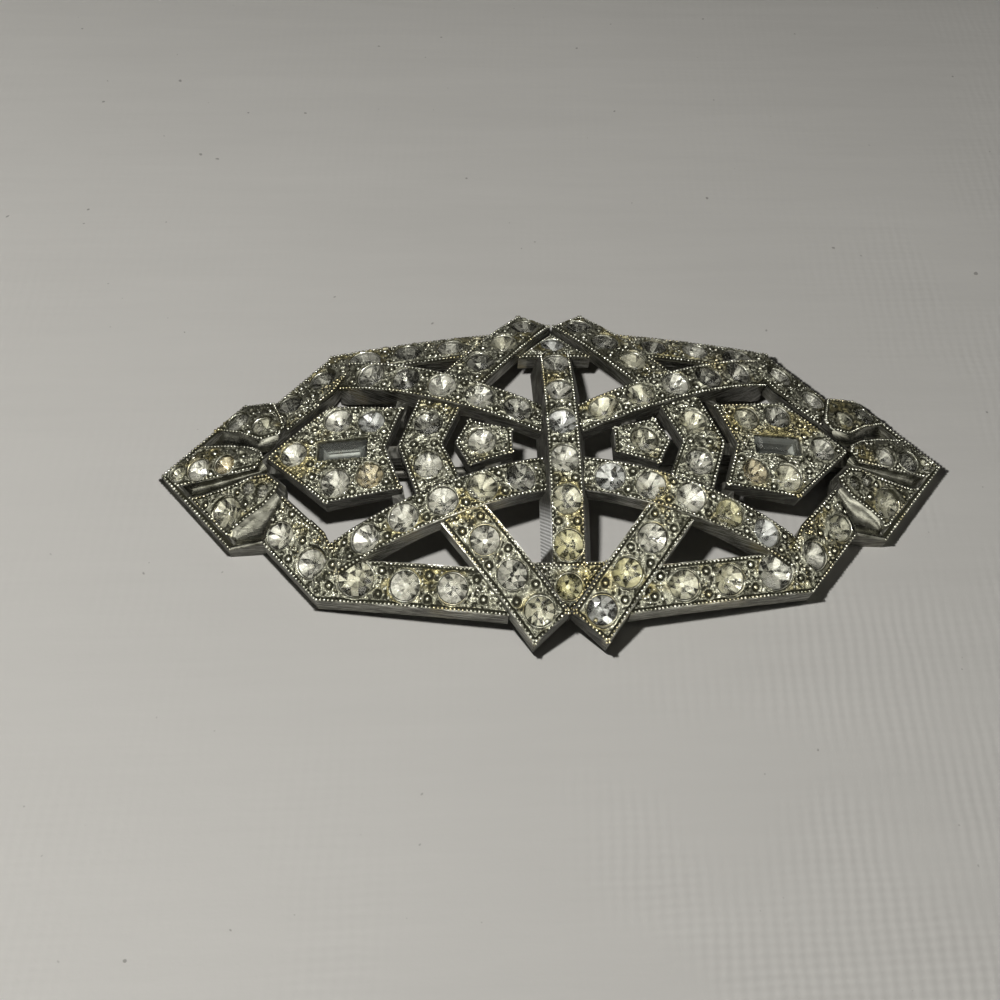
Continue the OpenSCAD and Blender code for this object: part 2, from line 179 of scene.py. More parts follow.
def stone_pieces():
    """Each piece of stones: its name, the nodes it stands for, and its rows with top and glass letters."""
    yield ("bar_stones",
           [f"bar_stone_{i}" for i in range(1, 7)] + ["bar_end_stone_front", "bar_end_stone_back"],
           [(bar_top, BAR, "ycwbww"), (end_top, mirrored(BAR_END, 1, -1), "y"), (end_top, BAR_END, "b")])
    for part, letters, top, rows in (("arc", ARC_LETTERS, arc_top, ARC), ("vee", VEE_LETTERS, vee_top, VEE)):
        for name, (sx, sy) in QUARTERS.items():
            nodes = [f"{part}_stone_{name}_{i + 1}" for i in range(len(rows))]
            yield f"{part}_stones_{name}", nodes, [(top, mirrored(rows, sx, sy), letters[name])]
    for side, sx, front, back, centre in (("left", -1, "waw", "dbw", "ww"), ("right", 1, "wac", "ccd", "cw")):
        yield (f"side_stones_{side}_cut", [f"side_stones_{side}"],
               [(face_top, mirrored(SIDE, sx, -1), front), (face_top, mirrored(SIDE, sx, 1), back),
                (face_top, mirrored(SIDE_CENTRE, sx, 1), centre)])
    for side, sy, left, right in (("front", -1, "wwcww", "ccwwc"), ("back", 1, "wdwdd", "dwdww")):
        yield (f"rail_stones_{side}_cut", [f"rail_stones_{side}"],
               [(top, mirrored(rows, sx, sy), letters)
                for sx, both in ((-1, left), (1, right))
                for top, rows, letters in ((rail_top, RAIL, both[:3]), (slant_top, SLANT, both[3:]))])
    for side, sx, ridge, back, front in (("left", -1, "cwa", "wc", "cww"), ("right", 1, "cdw", "dc", "cww")):
        yield (f"block_stones_{side}_cut", [f"block_stones_{side}"],
               [(ridge_top, mirrored(RIDGE, sx, 1), ridge), (block_top, mirrored(BACK_LEAF, sx, 1), back),
                (block_top, mirrored(FRONT_LEAF, sx, -1), front)])


# Shader maths: a socket that takes part in sums and products

class Value:
    """A socket of one number: sums, differences, products and powers add Math nodes."""

    def __init__(self, paint, socket):
        self.paint = paint
        self.socket = socket

    def math(self, operation, a, b=0.0, clamp=False):
        return self.paint.node("ShaderNodeMath", {"operation": operation, "use_clamp": clamp}, {0: a, 1: b})

    def __add__(self, other):
        return self.math("ADD", self, other)

    def __radd__(self, other):
        return self.math("ADD", other, self)

    def __sub__(self, other):
        return self.math("SUBTRACT", self, other)

    def __rsub__(self, other):
        return self.math("SUBTRACT", other, self)

    def __mul__(self, other):
        return self.math("MULTIPLY", self, other)

    def __rmul__(self, other):
        return self.math("MULTIPLY", other, self)

    def __pow__(self, other):
        return self.math("POWER", self, other)

    def clamp(self):
        return self.math("ADD", self, 0.0, clamp=True)

    def limit(self, low, high):
        return self.math("MAXIMUM", self.math("MINIMUM", self, high), low)

    def abs(self):
        return self.math("ABSOLUTE", self)

    def sin(self):
        return self.math("SINE", self)

    def step(self, low, high):
        """Rises smoothly from 0 at low to 1 at high."""
        return self.paint.node("ShaderNodeMapRange", {"interpolation_type": "SMOOTHSTEP"},
                               {"Value": self, "From Min": low, "From Max": high})


class Paint:
    """One material, or the room's light: node adds any node and gives back one output as a Value."""

    def __init__(self, name, room=False):
        self.material = bpy.data.worlds.new(name) if room else bpy.data.materials.new(name)
        self.material.use_nodes = True
        self.tree = self.material.node_tree
        self.tree.nodes.clear()
        self.place = self.node("ShaderNodeTexCoord", out="Generated" if room else "Object")

    def node(self, kind, settings=None, inputs=None, out=0):
        made = self.tree.nodes.new(kind)
        for key, value in (settings or {}).items():
            setattr(made, key, value)
        for key, value in (inputs or {}).items():
            if isinstance(value, Value):
                self.tree.links.new(value.socket, made.inputs[key])
            else:
                made.inputs[key].default_value = value
        return Value(self, made.outputs[out]) if made.outputs else None

    def xyz(self):
        """The place's three coordinates, in metres."""
        made = self.node("ShaderNodeSeparateXYZ", inputs={0: self.place}).socket.node
        return [Value(self, o) for o in made.outputs]

    def noise(self, size_mm, detail=2.0, rough=0.5, at=None):
        """Noise whose lumps are about size_mm across, 0 to 1."""
        return self.node("ShaderNodeTexNoise", None,
                         {"Vector": at or self.place, "Scale": 1 / (size_mm * MM),
                          "Detail": detail, "Roughness": rough})

    def mix(self, factor, a, b, blend="MIX"):
        """Colour a to colour b."""
        return self.node("ShaderNodeMix", {"data_type": "RGBA", "blend_type": blend},
                         {0: factor, 6: a, 7: b}, out=2)

    def stretch(self, scale, turn=0.0):
        """The place, scaled on each axis and turned about Z: noise is long where the scale is small."""
        return self.node("ShaderNodeMapping", None,
                         {"Vector": self.place, "Scale": scale, "Rotation": (0, 0, turn)})

    def attribute(self, name, out="Fac"):
        """A number, or with out="Color" a colour, that the mesh carries."""
        return self.node("ShaderNodeAttribute", {"attribute_name": name}, out=out)

    def bump(self, height, depth_mm, strength=1.0):
        """A normal tilted by height, which is depth_mm millimetres for each 1."""
        return self.node("ShaderNodeBump", None,
                         {"Height": height, "Distance": depth_mm * MM, "Strength": strength})

    def finish(self, **sockets):
        """Ends with the shader: sockets names the Principled shader's inputs, with blanks as underscores."""
        words = {key.replace("_", " "): value for key, value in sockets.items()}
        shader = self.node("ShaderNodeBsdfPrincipled", None, words)
        self.node("ShaderNodeOutputMaterial", None, {"Surface": shader})
        return self.material


def rgb(r, g, b):
    """A colour, opaque."""
    return (r, g, b, 1.0)


def waves(along, pitch_mm, shift):
    """Parallel waves, -1 to 1, one for every pitch_mm millimetres of along, moved by shift."""
    return (along * (2 * math.pi / (pitch_mm * MM)) + shift).sin()


# the dark of soil in the pits, and also of the worked face's painted shade
SOIL_AND_SHADE = rgb(0.021, 0.020, 0.010)
CUT_PITCH, RIB_PITCH, THREAD_PITCH = 0.34, 0.92, 0.70


def worked_metal():
    """The paved face: bright cuts, grey to warm tarnish, dark soil kept in the pits, and painted shade
    towards the back and the tips.
    """
    p = Paint("bright cut face")
    soil = p.attribute("soil")
    patch = p.noise(3.2, 3, 0.6).step(0.4, 0.66)
    fleck = p.noise(0.45, 2, 0.6)
    yellow = (p.noise(4.2, 2, 0.5, at=p.stretch((1, 1.3, 1))).step(0.5, 0.66) * (0.3 + fleck)).clamp()
    clean = p.mix(patch, rgb(0.40, 0.397, 0.32), rgb(0.125, 0.123, 0.092))
    warm = p.mix(yellow, clean, rgb(0.40, 0.345, 0.16))
    # painted shade: darker towards the back and the tips, most at the right, where less light falls
    x, y, _ = p.xyz()
    far = (0.22 * y.step(1 * MM, 11 * MM) + 0.14 * x.abs().step(20 * MM, 26 * MM)
           + 0.24 * x.step(12 * MM, 26 * MM))
    # dark joins soil in the pits, random dark flecks and the painted shade above
    dark = (far + soil * 1.4 + fleck.step(0.5, 0.66) * 0.5).clamp()
    colour = p.mix(dark, warm, SOIL_AND_SHADE)
    rough = 0.13 + 0.12 * fleck + 0.5 * dark
    grain = p.noise(0.16, 3, 0.7) + 0.6 * p.noise(0.42, 2, 0.6)
    return p.finish(Base_Color=colour, Metallic=1 - 0.8 * dark, Roughness=rough, Specular_IOR_Level=0.35,
                    Normal=p.bump(grain, 0.05))


def bead_metal():
    """Beads and prongs: worn bright on top, dark at the foot, with a little warm tarnish."""
    p = Paint("worn bright beads")
    fleck = p.noise(0.8, 2, 0.6)
    yellow = p.noise(4.4, 2, 0.5).step(0.5, 0.68) * 0.7
    clean = p.mix(fleck.step(0.3, 0.7), rgb(0.88, 0.878, 0.78), rgb(0.14, 0.138, 0.10))
    warm = p.mix(yellow, clean, rgb(0.58, 0.50, 0.27))
    dark = p.attribute("soil")
    colour = p.mix(dark, warm, SOIL_AND_SHADE)
    return p.finish(Base_Color=colour, Metallic=1 - 0.8 * dark, Roughness=0.11 + 0.14 * fleck + 0.45 * dark,
                    Specular_IOR_Level=0.35, Normal=p.bump(p.noise(0.12, 2, 0.6), 0.012))


def fold_metal():
    """The smooth hollows between the leaves: plain polish, dulled and darker in streaks."""
    p = Paint("polished hollows")
    streak = p.noise(0.7, 3, 0.6, at=p.stretch((0.5, 1.6, 1), 0.5))
    cloud = p.noise(1.8, 2, 0.5)
    colour = p.mix(cloud.step(0.4, 0.7), rgb(0.30, 0.296, 0.255), rgb(0.09, 0.088, 0.07))
    return p.finish(Base_Color=colour, Metallic=1.0, Roughness=0.18 + 0.2 * streak,
                    Normal=p.bump(streak, 0.04))


def cast_metal():
    """Walls and underside: grey with long drag lines, painted shade inside, darker low down, and slanting
    cuts on the bar's left wall with a painted highlight.
    """
    p = Paint("cast walls")
    x, y, z = p.xyz()
    cloud = p.noise(2.4, 3, 0.6)
    lines = p.noise(0.42, 3, 0.7, at=p.stretch((0.2, 0.2, 2.6)))
    scratch = p.noise(0.2, 2, 0.7, at=p.stretch((0.12, 0.12, 2.0))).step(0.46, 0.62)
    wall = p.mix(cloud.step(0.35, 0.65), rgb(0.22, 0.216, 0.178), rgb(0.055, 0.053, 0.041))
    warm = p.mix(p.noise(4.0, 2, 0.5).step(0.52, 0.7) * 0.6, wall, rgb(0.42, 0.36, 0.21))
    # painted shade: the bar's walls and the walls and ties of the side faces are painted dark where shade
    # falls; walls are also darker low down and along the drag lines
    shade_beside_bar = 1 - x.abs().step(2.3 * MM, 2.7 * MM)
    shade_in_face = (1 - y.abs().step(4.9 * MM, 5.7 * MM)) * (1 - x.abs().step(25.2 * MM, 26.2 * MM))
    low = 1 - z.step(0.8 * MM, 3.6 * MM)
    dark = (shade_beside_bar * 0.9 + shade_in_face * 0.85 + low * 0.7 + lines.step(0.45, 0.7) * 0.6).clamp()
    colour = p.mix(dark, warm, rgb(0.03, 0.029, 0.023))
    colour = p.mix(scratch * 0.6 * (1 - 0.75 * dark), colour, rgb(0.74, 0.73, 0.66))
    # the left wall of the bar has slanting cuts near its front end; their bright reflection is a painted
    # highlight, near white and less metallic
    cuts_and_highlight = (1 - x.step(-1.36 * MM, -1.3 * MM)) * x.step(-2.3 * MM, -2.2 * MM)
    cuts_and_highlight = cuts_and_highlight * (1 - (y + 0.6 * z).step(-4.6 * MM, -1.6 * MM)) * y.step(-9.4 * MM, -9.0 * MM)
    cuts = waves(y + z * 0.7, CUT_PITCH, 3 * cloud)
    colour = p.mix(cuts_and_highlight * (0.74 + 0.26 * cuts), colour, rgb(0.98, 0.98, 0.97))
    height = lines + 0.5 * p.noise(0.2, 2, 0.6) + 0.3 * cuts * cuts_and_highlight
    return p.finish(Base_Color=colour, Metallic=(1 - 0.7 * dark - 0.8 * cuts_and_highlight).clamp(),
                    Roughness=0.25 + 0.16 * cloud + 0.25 * dark, Normal=p.bump(height, 0.06))


def pin_metal():
    """Drawn wire, dull, with faint lengthwise lines."""
    p = Paint("drawn pin wire")
    cloud = p.noise(1.5, 3, 0.6)
    lines = p.noise(0.3, 2, 0.6, at=p.stretch((0.05, 2, 2)))
    colour = p.mix(cloud, rgb(0.20, 0.195, 0.175), rgb(0.09, 0.088, 0.075))
    return p.finish(Base_Color=colour, Metallic=1.0, Roughness=0.42 + 0.2 * cloud, Normal=p.bump(lines, 0.02))


def crown_glass(name):
    """Clear cut glass, tinted by the stone's own colour, with a few rubbed spots."""
    p = Paint(name)
    rub = p.noise(0.5, 2, 0.6).step(0.6, 0.8)
    return p.finish(Base_Color=p.attribute("glass", "Color"), Roughness=0.02 + 0.1 * rub, IOR=1.54,
                    Transmission_Weight=1.0, Alpha=0.3, Coat_Weight=1.0, Coat_Roughness=0.15)


def foil(name, grainy):
    """The foil behind the glass: facets painted bright or dark for the light they reflect, grainy painted
    glints, brown spots of lost foil, and painted shade towards the back and right.
    """
    p = Paint(name)
    lost = p.noise(0.5, 3, 0.65).step(0.58, 0.7)
    sparkle = p.noise(0.2, 2, 0.6).step(0.38, 0.62)
    # painted reflection: the facet tones, with the fine sparkle, paint the light each facet reflects, near
    # black to near white
    tone = (p.attribute("tone") * 1.06 - 0.03 + grainy * (sparkle - 0.46)).clamp()
    bright = p.mix(tone, rgb(0.02, 0.02, 0.017), rgb(1.0, 0.99, 0.95))
    tinted = p.mix(1.0, bright, p.attribute("glass", "Color"), "MULTIPLY")
    colour = p.mix(lost * 0.5, tinted, rgb(0.10, 0.085, 0.05))
    x, y, _ = p.xyz()
    # painted shade: the facets are darker from the middle towards the back, and at the right
    far = 0.12 * y.step(-6 * MM, -1 * MM) + 0.16 * y.step(2 * MM, 9 * MM) + 0.14 * x.step(12 * MM, 26 * MM)
    colour = p.mix(far, colour, rgb(0.06, 0.06, 0.05))
    return p.finish(Base_Color=colour, Metallic=0.6, Roughness=0.08 + 0.2 * lost,
                    Normal=p.bump(p.noise(0.2, 2, 0.6), 0.17 * grainy))


def canvas():
    """The pale surface below: its colour carries painted light that fades towards the back and right, and
    evens out the near lamp's slant.
    """
    p = Paint("pale canvas")
    x, y, _ = p.xyz()
    off_x, off_y = x - LAMP[0] * MM, y - LAMP[1] * MM
    slant = (off_x * off_x + off_y * off_y + (LAMP[2] * MM) ** 2) ** 0.5 * (1 / (LAMP[2] * MM))
    wander = p.noise(6.0, 2, 0.5) * 5
    ribs = waves(x - 0.05 * y, RIB_PITCH, wander)
    threads = waves(y, THREAD_PITCH, wander)
    shown = p.noise(16.0, 2, 0.5).step(0.38, 0.6) * (0.25 + 0.75 * (x - y).step(-10 * MM, 60 * MM))
    weave = (ribs + 0.5 * threads) * shown
    streak = p.noise(9.0, 3, 0.55, at=p.stretch((0.18, 1.6, 1)))
    brush = p.noise(1.8, 3, 0.6, at=p.stretch((0.12, 1.4, 1), 0.1))
    cloud = p.noise(38.0, 2, 0.5)
    # the fall of light over the picture's own part of the canvas, and level beyond it
    near_x, near_y = x.limit(-85 * MM, 75 * MM), y.limit(-60 * MM, 70 * MM)
    even = 1 - (3.9 - 25 * near_y) * near_x - 3.6 * near_y - 20 * near_y * near_y
    even = even + 0.07 * (streak - 0.5) + 0.06 * (cloud - 0.5) + 0.05 * (brush - 0.5) + 0.012 * weave
    speck = p.noise(0.9, 1, 0.3).step(0.79, 0.83)
    pale = p.mix((even * slant * 0.54).clamp(), rgb(0.0, 0.0, 0.0), rgb(0.90, 0.885, 0.85))
    colour = p.mix(speck * 0.5, pale, rgb(0.10, 0.09, 0.08))
    height = 0.34 * weave + 0.6 * p.noise(1.1, 3, 0.6) + streak + 0.5 * brush
    return p.finish(Base_Color=colour, Roughness=0.8, Specular_IOR_Level=0.2,
                    Normal=p.bump(height, 0.05, 0.5))


# Meshes

def piece(name, verts, faces, materials, replaces=(), smooth=True, data=None, material_index=None):
    """A mesh object from points in millimetres and faces, riding on the brooch, with its attributes."""
    mesh = bpy.data.meshes.new(name)
    verts = np.asarray(verts, float) * MM
    if isinstance(faces, np.ndarray):
        mesh.vertices.add(len(verts))
        mesh.vertices.foreach_set("co", verts.astype(np.float32).ravel())
        mesh.loops.add(faces.size)
        mesh.loops.foreach_set("vertex_index", faces.astype(np.int32).ravel())
        mesh.polygons.add(len(faces))
        mesh.polygons.foreach_set("loop_start", np.arange(0, faces.size, faces.shape[1], dtype=np.int32))
        mesh.update(calc_edges=True)
    else:
        mesh.from_pydata(verts.tolist(), [], faces)
    mesh.validate()
    mesh.polygons.foreach_set("use_smooth", np.full(len(mesh.polygons), smooth))
    for m in materials:
        mesh.materials.append(m)
    if material_index is not None:
        mesh.polygons.foreach_set("material_index", np.asarray(material_index, np.int32))
    for key, values in (data or {}).items():
        values = np.asarray(values, np.float32)
        domain = "FACE" if len(values) == len(mesh.polygons) and not smooth else "POINT"
        kind = "FLOAT_COLOR" if values.ndim == 2 else "FLOAT"
        layer = mesh.attributes.new(key, kind, domain)
        layer.data.foreach_set("color" if values.ndim == 2 else "value", values.ravel())
    obj = bpy.data.objects.new(name, mesh)
    bpy.context.scene.collection.objects.link(obj)
    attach(obj, "root")
    if replaces:
        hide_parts(*replaces)
    return obj


def grid_faces(rows, cols, around=False):
    """Four-sided faces of a grid of rows by cols points, joined round the columns if asked."""
    r, c = np.meshgrid(np.arange(rows - 1), np.arange(cols if around else cols - 1), indexing="ij")
    a, b = (r * cols + c).ravel(), (r * cols + (c + 1) % cols).ravel()
    return np.stack([a, b, b + cols, a + cols], -1)


def frames(normals, turns):
    """Three axes for each normal: the first lies in the plane of X and Z, then all turn about the normal."""
    first = np.stack([normals[:, 2], np.zeros(len(normals)), -normals[:, 0]], -1)
    first /= np.linalg.norm(first, axis=1, keepdims=True)
    second = np.cross(normals, first)
    c, s = np.cos(turns)[:, None], np.sin(turns)[:, None]
    return np.stack([first * c + second * s, second * c - first * s, normals], 1)


def scatter(shape, faces, points, normals, sizes, turns):
    """Copies of a small shape at many points: shape times its three sizes, along the axes at each point."""
    placed = np.einsum("vk,nk,nkj->nvj", shape, sizes, frames(normals, turns)) + points[:, None, :]
    shift = np.arange(len(points))[:, None, None] * len(shape)
    return placed.reshape(-1, 3), (faces[None] + shift).reshape(-1, faces.shape[1])


def ball(around, rings):
    """A sphere of radius 1: rings of points between its poles, which are small closed caps of triangles."""
    tilt = np.linspace(0, math.pi, rings + 2)[1:-1]
    a = np.arange(around) * 2 * math.pi / around
    body = np.stack([np.sin(tilt)[:, None] * np.cos(a), np.sin(tilt)[:, None] * np.sin(a),
                     np.cos(tilt)[:, None] + 0 * a], -1).reshape(-1, 3)
    verts = np.vstack([body, [[0, 0, 1], [0, 0, -1]]])
    quads = grid_faces(rings, around, True)
    tris = np.vstack([quads[:, [0, 3, 2]], quads[:, [0, 2, 1]]])
    ring = np.arange(around)
    north = np.stack([np.full(around, len(body)), ring, np.roll(ring, -1)], -1)
    last = (rings - 1) * around + ring
    south = np.stack([np.full(around, len(body) + 1), np.roll(last, -1), last], -1)
    return verts, np.vstack([tris, north, south])


def lattice(seed, size, x, y):
    """Smooth noise over the plan, -1 to 1: seeded values on a lattice of cells, joined by cosine steps."""
    cells, shift = 256, 400
    table = np.random.default_rng(seed).uniform(-1, 1, (cells, cells))
    u, v = x / size + shift, y / size + shift
    i, j = np.floor(u).astype(int), np.floor(v).astype(int)
    fu, fv = 0.5 - 0.5 * np.cos(math.pi * (u - i)), 0.5 - 0.5 * np.cos(math.pi * (v - j))

    def at(di, dj):
        return table[(i + di) % cells, (j + dj) % cells]

    return (at(0, 0) * (1 - fu) + at(1, 0) * fu) * (1 - fv) + (at(0, 1) * (1 - fu) + at(1, 1) * fu) * fv


def resample(line, count):
    """A polyline as count points, evenly along its length."""
    line = np.asarray(line, float)
    run = np.concatenate([[0], np.cumsum(np.linalg.norm(np.diff(line, axis=0), axis=1))])
    t = np.linspace(0, run[-1], count)
    return np.stack([np.interp(t, run, line[:, k]) for k in (0, 1)], -1)


def line_length(line):
    """The length of a polyline."""
    return np.linalg.norm(np.diff(np.asarray(line, float), axis=0), axis=1).sum()


def sheet(a, b, cols):
    """A grid of plan points from line a across to line b, and its faces, which look up."""
    w = np.linspace(0, 1, cols)
    plan = a[:, None] * (1 - w)[None, :, None] + b[:, None] * w[None, :, None]
    quads = grid_faces(len(a), cols)
    ab, ad = plan[1, 0] - plan[0, 0], plan[0, -1] - plan[0, 0]
    if ab[0] * ad[1] - ab[1] * ad[0] > 0:
        quads = quads[:, ::-1]
    return w, plan, quads


def hump(d, at, width, high=1.0):
    """A smooth ridge: high where the distance d is at, and almost nothing beyond twice width from there."""
    return high * np.exp(-((d - at) / width) ** 2)


# Step of the worked faces' grid, then beads, prongs and grains: how far in from the edge, pitch, radii, how
# high their centres lie, and how far a grain keeps from stones, edges and prongs, all in millimetres
GRID = 0.085
EDGE_BEAD = 0.17
BEAD_PITCH = 0.33
BEAD_R, PRONG_R, GRAIN_R = 0.13, 0.21, 0.12
BEAD_Z, PRONG_Z, GRAIN_Z = 0.07, 0.08, 0.11
GRAIN_TO_STONE, GRAIN_TO_EDGE, GRAIN_TO_PRONG = 0.26, 0.46, 0.42

# Ridges of the worked faces: distance from edge, stone or prong, width and height, in millimetres
EDGE_DROP = (0, 0.07, 0.2)
EDGE_RIDGE = (0.42, 0.05, 0.06)
STONE_RIDGE = (0.13, 0.07, 0.13)
PRONG_DIMPLE = (0.2, 0.17)
PRONG_RIDGE = (0.44, 0.06, 0.13)
CUT_HEIGHT, SEAT_DROP, SOIL_HEIGHT = 0.24, 0.3, 0.11

# A thin rim round each stone: gap to the stone, width, height, and how far its feet go into the face
RIM_GAP, RIM_WIDTH, RIM_HEIGHT, RIM_SINK = 0.03, 0.13, 0.17, 0.03

# What the strips leave for the meshes made after them
faces_made = {}
beads = []
prongs = []
grains = []
rims = []


def strip(group, top, left, right, stones, marks=(), ends=(True, True), crown=0.0, rows_on=(True, True),
          oblong=None, grain=0.85, rims_of=None):
    """The worked face of one strip between two lines: a grid, raised by rims, dimples, crown and rough cuts.

    Height is a sum of smooth ridges over distances: down at the edges, a ridge inside the bead row,
    up round each stone, a dimple round each prong, and seeded noise for the cuts. Marks are the prongs' plan
    points. Bead rows run along the ends and the two lines that ends and rows_on name. Oblong is a baguette's
    place and half sizes, grain the share of places that get a grain, and rims_of how many of the stones get
    their rim here."""
    long = max(line_length(left), line_length(right))
    rows = max(int(long / GRID), 4)
    a, b = resample(left, rows), resample(right, rows)
    wide = np.linalg.norm(b - a, axis=1)
    cols = max(int(wide.max() / GRID), 4)
    w, plan, quads = sheet(a, b, cols)
    x, y = plan[..., 0], plan[..., 1]
    t = np.linspace(0, long, rows)[:, None] + 0 * w
    edge = np.minimum(w * wide[:, None], (1 - w) * wide[:, None])
    if ends[0]:
        edge = np.minimum(edge, t)
    if ends[1]:
        edge = np.minimum(edge, long - t)
    # a face without stones is measured from one far away
    rounds = stones if len(stones) else np.array([[0, 99, 1.0]])
    to_stone = np.min(np.hypot(x[..., None] - rounds[:, 0], y[..., None] - rounds[:, 1]) - rounds[:, 2], -1)
    if oblong is not None:
        over = np.maximum(np.abs(np.abs(x) - oblong[0]) - oblong[1], np.abs(y) - oblong[2])
        to_stone = np.minimum(to_stone, over)
    free = np.clip((to_stone - 0.04) / 0.1, 0, 1) * np.clip((edge - 0.36) / 0.08, 0, 1)
    lumps = (np.abs(lattice(3, 0.46, x, y)) + 0.8 * np.abs(lattice(5, 0.25, x, y))
             + 0.3 * lattice(8, 0.12, x, y))
    height = 0.02 + free * CUT_HEIGHT * np.clip(1.2 * lumps - 0.2, 0, 1)
    height += hump(to_stone, *STONE_RIDGE) + hump(edge, *EDGE_RIDGE)
    marks = np.asarray(marks, float).reshape(-1, 2)
    if len(marks):
        to_mark = np.min(np.hypot(x[..., None] - marks[:, 0], y[..., None] - marks[:, 1]), -1)
        height = height * (1 - hump(to_mark, *PRONG_DIMPLE)) + hump(to_mark, *PRONG_RIDGE)
    # soil gathers wherever the face lies low
    soil = np.clip(1.3 - height / SOIL_HEIGHT, 0, 1)
    height -= hump(edge, *EDGE_DROP) + SEAT_DROP * np.clip((0.05 - to_stone) / 0.1, 0, 1)
    height += crown * np.sin(np.clip(w, 0, 1) * math.pi)
    points, _ = lift(top, plan, height)
    inside = to_stone.ravel()[quads].max(1) < -0.06
    group_verts, group_faces, group_soil, count = faces_made.setdefault(group, [[], [], [], 0])
    group_verts.append(points.reshape(-1, 3))
    group_faces.append(quads[~inside] + count)
    group_soil.append(soil.ravel())
    faces_made[group][3] = count + rows * cols

    share = EDGE_BEAD / np.maximum(wide, 0.5)
    lines = []
    if rows_on[0]:
        lines.append(a + (b - a) * share[:, None])
    if rows_on[1]:
        lines.append(b + (a - b) * share[:, None])
    inset = EDGE_BEAD / long
    for at, on in ((inset, ends[0]), (1 - inset, ends[1])):
        if on:
            i = int(round(at * (rows - 1)))
            lines.append(np.stack([plan[i, 0], plan[i, -1]]))
    for line in lines:
        run = line_length(line)
        if run > 2 * BEAD_PITCH:
            beads.append(lift(top, resample(line, int(run / BEAD_PITCH) + 1), BEAD_Z))
    if len(marks):
        prongs.append(lift(top, marks, PRONG_Z))
    # loose grains between the rims, one in each cell of a jittered lattice, where nothing else stands
    if rows > 8 and cols > 8:
        at = np.stack(np.meshgrid(np.arange(3, rows - 3, 4), np.arange(3, cols - 3, 4), indexing="ij"))
        at_r, at_c = at + rng.integers(-1, 2, at.shape)
        clear = (to_stone[at_r, at_c] > GRAIN_TO_STONE) & (edge[at_r, at_c] > GRAIN_TO_EDGE)
        clear &= rng.random(at_r.shape) < grain
        if len(marks):
            clear &= to_mark[at_r, at_c] > GRAIN_TO_PRONG
        if clear.any():
            grains.append(lift(top, plan[at_r, at_c][clear], GRAIN_Z))
    if len(stones):
        points, normal = lift(top, stones[:rims_of, :2])
        rims.append((points, normal, stones[:rims_of, 2]))


hollows = [[], [], 0]


def hollow(left, right, depth, flip):
    """A smooth trough between two lines on the end block: half a round in section, depth millimetres down."""
    rows, cols = 40, 12
    a, b = resample(np.array(left) * flip, rows), resample(np.array(right) * flip, rows)
    w, plan, quads = sheet(a, b, cols)
    section = 0.01 - depth * np.sin(math.pi * w).clip(0) ** 0.7
    points, _ = lift(block_top, plan, np.tile(section, (rows, 1)))
    hollows[0].append(points.reshape(-1, 3))
    hollows[1].append(quads + hollows[2])
    hollows[2] += rows * cols


def pairs_between(points, off):
    """Two marks off the line at the middle of each step from one point to the next."""
    points = np.asarray(points, float)
    mid = (points[1:] + points[:-1]) / 2
    way = np.diff(points, axis=0)
    side = np.stack([-way[:, 1], way[:, 0]], -1) / np.linalg.norm(way, axis=1, keepdims=True)
    return np.vstack([mid + off * side, mid - off * side])


def both_sides(line):
    """A polyline from the middle outwards, carried on below as its mirror image."""
    line = np.asarray(line, float)
    return np.vstack([(line * [1, -1])[::-1], line[1:] if line[0, 1] == 0 else line])


# Strips of the whole face
bar_y = np.array([-BAR_TOP_END, BAR_TOP_END])
strip("bar", bar_top, np.stack([[-BAR_HALF] * 2, bar_y], -1), np.stack([[BAR_HALF] * 2, bar_y], -1), BAR,
      pairs_between(BAR[:, :2], 0.78))
for sy in (-1, 1):
    strip("bar", end_top, [[-3.3, sy * 10.2], [-0.05, sy * 14]], [[3.3, sy * 10.2], [0.05, sy * 14]],
          mirrored(BAR_END, 1, sy), ends=(True, False))

# Marks for the prongs, in pairs between the stones and past the last of them
arc_marks = np.vstack([pairs_between(ARC[:, :2], 0.82), pairs_between(arc_line([6.84, 10.0]), 0.7)])
vee_marks = np.vstack([pairs_between(VEE[:, :2], 1.0), pairs_between(vee_line([-0.6, 2.4]), 0.95),
                       vee_line([10.4])])
rail_marks = np.vstack([pairs_between(RAIL[:, :2], 0.88),
                        [[7.5, 11.4], [7.0, 12.9], [19.6, 11.2], [19.3, 9.6]]])
slant_marks = np.vstack([pairs_between(SLANT[:, :2], 0.9), [[22.9, 4.9], [24.6, 5.1]]])
chevron_marks = np.array([[10.9, 0], [12.6, 0], [9.9, 3.9], [11.3, 4.3], [9.9, -3.9], [11.3, -4.3]])
panel_marks = [[17.75, 3.95], [21.2, 2.3], [21.4, 1.1], [15.2, 1.5], [14.9, 3.3]]
panel_marks = np.array(panel_marks + [[u, -v] for u, v in panel_marks] + [[24.4, 0]])

arc_run = np.linspace(ARC_START, ARC_END, 60)
vee_run = np.array([VEE_START, VEE_END])
for sx, sy in QUARTERS.values():
    flip = np.array([sx, sy])
    strip("arcs", arc_top, arc_line(arc_run, ARC_HALF) * flip, arc_line(arc_run, -ARC_HALF) * flip,
          mirrored(ARC, sx, sy), arc_marks * flip, ends=(False, False))
    strip("v_bars", vee_top, vee_line(vee_run, -VEE_HALF) * flip, vee_line(vee_run, VEE_HALF) * flip,
          mirrored(VEE, sx, sy), vee_marks * flip)
    strip("rails", corner_top, np.array([[5.5, 10.7], [8, 10.45], [19, 9.15], [20.1, 6.9]]) * flip,
          np.array([[5, 14.2], [7.5, 13.9], CORNER, CORNER]) * flip,
          np.vstack([mirrored(RAIL, sx, sy), mirrored(SLANT[:1], sx, sy)]), rail_marks * flip,
          ends=(False, False), rims_of=3)
    strip("rails", corner_top, np.array([[20.1, 6.9], [23.75, 3.25]]) * flip,
          np.array([CORNER, [25.4, 7.15]]) * flip, mirrored(SLANT, sx, sy), slant_marks * flip,
          ends=(False, False))

